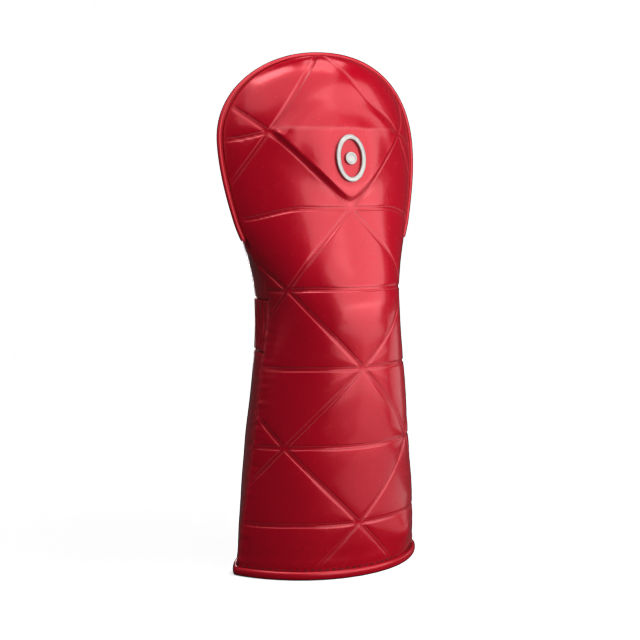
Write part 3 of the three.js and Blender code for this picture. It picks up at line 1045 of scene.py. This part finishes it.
class HEADCOVER_OT_padding(bpy.types.Operator):
    """Foam between the leather and the lining, and the pad that lifts the triangle"""

    bl_idname = "head_cover.padding"
    bl_label = "Padding"

    def execute(self, context):
        low, high = THROAT
        plans = (
            ("front_foam", "front", HEM_TOP, None, "front_padding"),
            ("back_skirt_foam", "back", HEM_TOP, low - 2, "back_skirt_padding"),
            ("back_crown_foam", "back", high + 2, None, "back_crown_padding"),
        )
        for name, side, start, end, node in plans:
            mesh = inner_layer(name, side, start, end, (FOAM[0] + 0.15, FOAM[1]), 4, 36, clear=3.6)
            piece = add_piece(name, tidy_mesh(mesh), "pad_foam", "foam", node)
        self.emblem_pad()
        return {"FINISHED"}

    def emblem_pad(self):
        """A triangle of foam with rounded edges under the raised leather."""
        rise = sizes().emblem_rise / MM
        margin, rows, columns = 4.6, 30, 40
        edge_round, swell, sunk, under = 2.5, 0.6, 2.5, 0.9
        bottom, top = EMBLEM_TIP + margin * 2.4, EMBLEM_TOP - margin
        z = np.linspace(bottom, top, rows + 1)
        rise_at = np.clip((z - CROWN_Z) / (HEIGHT - CROWN_Z), 0, 1)
        turn = np.arcsin(rise_at ** (DOME_POWER / 2))
        base = np.minimum(z, CROWN_Z)
        reach = np.maximum(0.8, z - bottom)
        grid = Grid("front", base, turn, 0, 0.0, columns, edge_bias=0.0, reach=reach)
        ends = np.minimum(z - bottom, top - z)[:, None]
        edge = np.minimum(ends, grid.from_edge)
        puff = np.sqrt(np.clip(edge / edge_round, 0.02, 1)) * swell
        outer = grid.points + grid.normals * (rise - sunk + puff)[..., None]
        inner = grid.points - grid.normals * under
        mesh = tidy_mesh(closed_shell("emblem_foam", outer, inner, 1, False))
        piece = add_piece("emblem_foam", mesh, "pad_foam", "foam", "emblem_pad")


class HEADCOVER_OT_lining(bpy.types.Operator):
    """Fleece lining, throat elastics and the blank label"""

    bl_idname = "head_cover.lining"
    bl_label = "Lining"

    def execute(self, context):
        for side in ("front", "back"):
            name = side + "_fleece"
            mesh = inner_layer(name, side, 2, None, LINING, 1.8, 96, relief=fleece_pile)
            add_piece(name, tidy_mesh(mesh), "fleece", "fleece_lining", side + "_lining")
        spare = (THROAT[1] - THROAT[0] - 2 * ELASTIC_WIDTH) / 3
        for i, which in enumerate(("lower", "upper")):
            low = THROAT[0] + spare + i * (ELASTIC_WIDTH + spare)
            high = low + ELASTIC_WIDTH
            name = which + "_elastic"
            mesh = inner_layer(name, "back", low, high, ELASTIC, 1.1, 160, clear=2.0, relief=elastic_ribs)
            add_piece(name, tidy_mesh(mesh), "elastic", "elastic", "throat_elastic_" + which)
        low, length, half_width = 14, 30, 11.0
        insets = (LINING[1] + 0.9, LINING[1] + 1.3)
        mesh = inner_layer("blank_label", "back", low, low + length, insets, 1, 22, reach=half_width)
        label = add_piece("blank_label", tidy_mesh(mesh), "woven_label", "label_fabric", "care_label")
        return {"FINISHED"}


# ---- badge ----
def badge_place():
    """The transform that lays a flat badge on the front."""
    place, up, out = badge_basis()
    turned = Matrix((Vector((1, 0, 0)), up, out)).transposed().to_4x4()
    return Matrix.Translation(place * MM) @ turned


def badge_part(name, *meshes):
    """Joins the parts of a badge piece, made flat, and lays them on the front."""
    mesh = tidy_mesh(join_meshes(name, *meshes), 35)
    mesh.transform(badge_place())
    return mesh


def post(y):
    """A pin behind the badge, with a bevelled end."""
    return ring_mesh("post", round_rings(((0.9, 0.4), (0.9, -7.3), (0.6, -7.7)), 16, y), False, caps=True)


class HEADCOVER_OT_badge(bpy.types.Operator):
    """Oval ring and round stud in satin silver, with their fixings behind the leather"""

    bl_idname = "head_cover.badge"
    bl_label = "Badge"

    def execute(self, context):
        half_x, half_y = BADGE_SIZE[0] / 2, BADGE_SIZE[1] / 2
        section = ((0, 0), (0, 1.25), (0.16, 1.58), (0.42, 1.76), (0.8, 1.8), (1.05, 1.66), (1.6, 1.6))
        section += tuple((BADGE_BAND - w, h) for w, h in section[-2::-1])
        turns = full_turn(128)
        x_turn, y_turn = np.cos(turns), np.sin(turns)
        loops = [beside((half_x - w) * x_turn, (half_y - w) * y_turn, h) for w, h in section]
        oval = ring_mesh("oval", np.stack(loops, axis=1), True)
        offset = half_y - BADGE_BAND / 2
        ring = badge_part("badge_oval", oval, post(offset), post(-offset))
        add_piece("badge_oval", ring, "satin_silver", "badge_metal", "badge_ring")
        rim = ((4.2, 0), (4.2, 1.1), (4.05, 1.42), (3.7, 1.6), (3.3, 1.6), (3.0, 1.42))
        button = ((2.7, 1.5), (1.6, 1.86), (0.5, 2.0))
        boss = ring_mesh("boss", round_rings(rim + button, 64), False, caps=True)
        boss = badge_part("badge_boss", boss, post(0.0))
        add_piece("badge_boss", boss, "satin_silver", "badge_metal", "badge_stud")
        finish_nodes("brushed_steel", "badge_backing_plate")
        finish_nodes("brushed_steel", "badge_clip_upper", "badge_clip_middle", "badge_clip_lower")
        return {"FINISHED"}


# ---- stage, in metres ----
MIDDLE, CROWN, SKIRT, FOOT = (0, 0, 0.17), (0, 0, 0.3), (0.02, 0, 0.09), (0, 0, 0.004)
CAMERA_PLACE = (-0.4423, -0.7911, 0.2587)
CAMERA_TURN, CAMERA_DIP = math.radians(28.99), math.radians(5.83)
CAMERA_LENS = 75.6
SWEEP_LIGHT = 0.005


def softbox(name, azimuth, elevation, distance, size, power, target=MIDDLE):
    """An area light placed by its direction from the cover and turned to face it."""
    light = bpy.data.lights.new(name, "AREA")
    light.shape = "RECTANGLE"
    light.size, light.size_y = size
    light.energy = power
    lamp = add_object(name, light)
    a, e = math.radians(azimuth), math.radians(elevation)
    away = Vector((math.sin(a) * math.cos(e), -math.cos(a) * math.cos(e), math.sin(e)))
    lamp.location = Vector(target) + away * distance
    lamp.rotation_euler = (-away).to_track_quat("-Z", "Y").to_euler()
    return lamp


class HEADCOVER_OT_stage(bpy.types.Operator):
    """Pale floor, soft lights and the camera"""

    bl_idname = "head_cover.stage"
    bl_label = "Stage"

    def execute(self, context):
        scene = context.scene
        scene.view_settings.view_transform = "Standard"
        floor = self.floor()
        self.surround(scene)
        lamps = (
            softbox("key_wall", 29, 22, 1.25, (2.4, 0.9), 12.5),
            softbox("low_wall", 27, 0, 1.35, (1.9, 0.36), 4.4),
            softbox("top_box", -27, 58, 0.85, (1.5, 0.9), 4.6, CROWN),
            softbox("high_right", 70, 74, 0.9, (0.6, 0.4), 1.8),
            softbox("low_right", 92, -4, 0.5, (0.26, 0.14), 0.08, SKIRT),
            softbox("left_high", -100, 70, 0.8, (0.35, 0.35), 1.8, CROWN),
            softbox("rear_strip", 163, 4, 1.1, (0.1, 1.0), 2),
            softbox("left_fill", -100, 25, 1.4, (0.5, 1.0), 0.45),
            self.table_card("far_table", 28.5, 0.93, (1.15, 0.76), 4.6),
            self.table_card("near_table", 48, 0.34, (0.36, 0.42), 0.28),
        )
        self.light_only("lit_cover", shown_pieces(), lamps)
        self.light_only("lit_floor", [floor], [softbox("floor_wash", 0, 90, 3.0, (5, 5), 8)])
        self.camera(scene)
        return {"FINISHED"}

    def light_only(self, name, objects, lamps):
        """Keeps some lamps to some objects."""
        lit = bpy.data.collections.new(name)
        for piece in objects:
            lit.objects.link(piece)
        for lamp in lamps:
            lamp.light_linking.receiver_collection = lit

    def table_card(self, name, azimuth, distance, size, power):
        """Light that the table throws back up in front of the cover."""
        lamp = softbox(name, azimuth, 0, distance, size, power, FOOT)
        lamp.rotation_euler = (math.pi, 0, math.radians(azimuth))
        return lamp

    def floor(self):
        """A wide floor that bends up into a wall far away, just under the hem."""
        reach, bend, wall, drop = 3200, 900, 3600, -0.2
        arc = np.linspace(0.1, math.pi / 2, 14)
        sweep = [(reach + bend * math.sin(t), drop + bend * (1 - math.cos(t))) for t in arc]
        sweep = [(reach, drop), *sweep, (reach + bend, wall)]
        mesh = ring_mesh("floor", round_rings(sweep, 64), False)
        bm = bmesh.new()
        bm.from_mesh(mesh)
        lowest = [e for e in bm.edges if e.is_boundary and e.verts[0].co.z < 0.1]
        bmesh.ops.contextual_create(bm, geom=lowest)
        for face in bm.faces:
            if face.normal.dot(-face.calc_center_median() + Vector((0, 0, 2))) < 0:
                face.normal_flip()
        bm.to_mesh(mesh)
        bm.free()
        mesh.shade_smooth()
        n = Finish("pale_floor")
        pale = colours().floor
        mesh.materials.append(n.finish(n.mix(n.noise(6, 2), shade(pale, 0.98), shade(pale, 1.0)), 0.7))
        floor = add_object("floor", mesh)
        floor.is_shadow_catcher = True
        floor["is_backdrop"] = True
        return floor

    def surround(self, scene):
        """A white sweep behind the cover that adds only a little light."""
        world = bpy.data.worlds.new("white_sweep")
        world.use_nodes = True
        scene.world = world
        n = Nodes(world.node_tree)
        back = n.tree.nodes["Background"]
        n.feed(back.inputs["Color"], (1, 1, 1, 1))
        seen = n.add("ShaderNodeLightPath").outputs["Is Camera Ray"]
        level = n.add("ShaderNodeMapRange", Value=seen, To_Min=SWEEP_LIGHT, To_Max=1.0)
        n.feed(back.inputs["Strength"], level.outputs["Result"])

    def camera(self, scene):
        data = bpy.data.cameras.new("camera")
        data.sensor_width = 36
        data.lens = CAMERA_LENS
        camera = add_object("camera", data)
        camera.location = CAMERA_PLACE
        level = math.cos(CAMERA_DIP)
        ahead = Vector((math.sin(CAMERA_TURN) * level, math.cos(CAMERA_TURN) * level, -math.sin(CAMERA_DIP)))
        camera.rotation_euler = ahead.to_track_quat("-Z", "Y").to_euler()
        scene.camera = camera


class HEADCOVER_PT_panel(bpy.types.Panel):
    """Sizes, colours and pieces of the head cover"""

    bl_label = "Head Cover"
    bl_idname = "HEADCOVER_PT_panel"
    bl_space_type = "VIEW_3D"
    bl_region_type = "UI"
    bl_category = "Head Cover"

    def draw(self, context):
        for group in (context.scene.head_cover_sizes, context.scene.head_cover_colours):
            box = self.layout.box()
            for name in group.bl_rna.properties.keys():
                if name not in ("rna_type", "name"):
                    box.prop(group, name)
        for operator in OPERATORS:
            self.layout.operator(operator.bl_idname)


OPERATORS = (
    HEADCOVER_OT_front_panel,
    HEADCOVER_OT_back_panels,
    HEADCOVER_OT_piping,
    HEADCOVER_OT_hem,
    HEADCOVER_OT_padding,
    HEADCOVER_OT_lining,
    HEADCOVER_OT_badge,
    HEADCOVER_OT_stage,
)
CLASSES = (HeadCoverSizes, HeadCoverColours, *OPERATORS, HEADCOVER_PT_panel)


def register():
    for cls in CLASSES:
        bpy.utils.register_class(cls)
    bpy.types.Scene.head_cover_sizes = bpy.props.PointerProperty(type=HeadCoverSizes)
    bpy.types.Scene.head_cover_colours = bpy.props.PointerProperty(type=HeadCoverColours)


def unregister():
    del bpy.types.Scene.head_cover_colours
    del bpy.types.Scene.head_cover_sizes
    for cls in reversed(CLASSES):
        bpy.utils.unregister_class(cls)


def main():
    register()
    for operator in OPERATORS:
        group, name = operator.bl_idname.split(".")
        getattr(getattr(bpy.ops, group), name)()


if __name__ == "__main__":
    main()
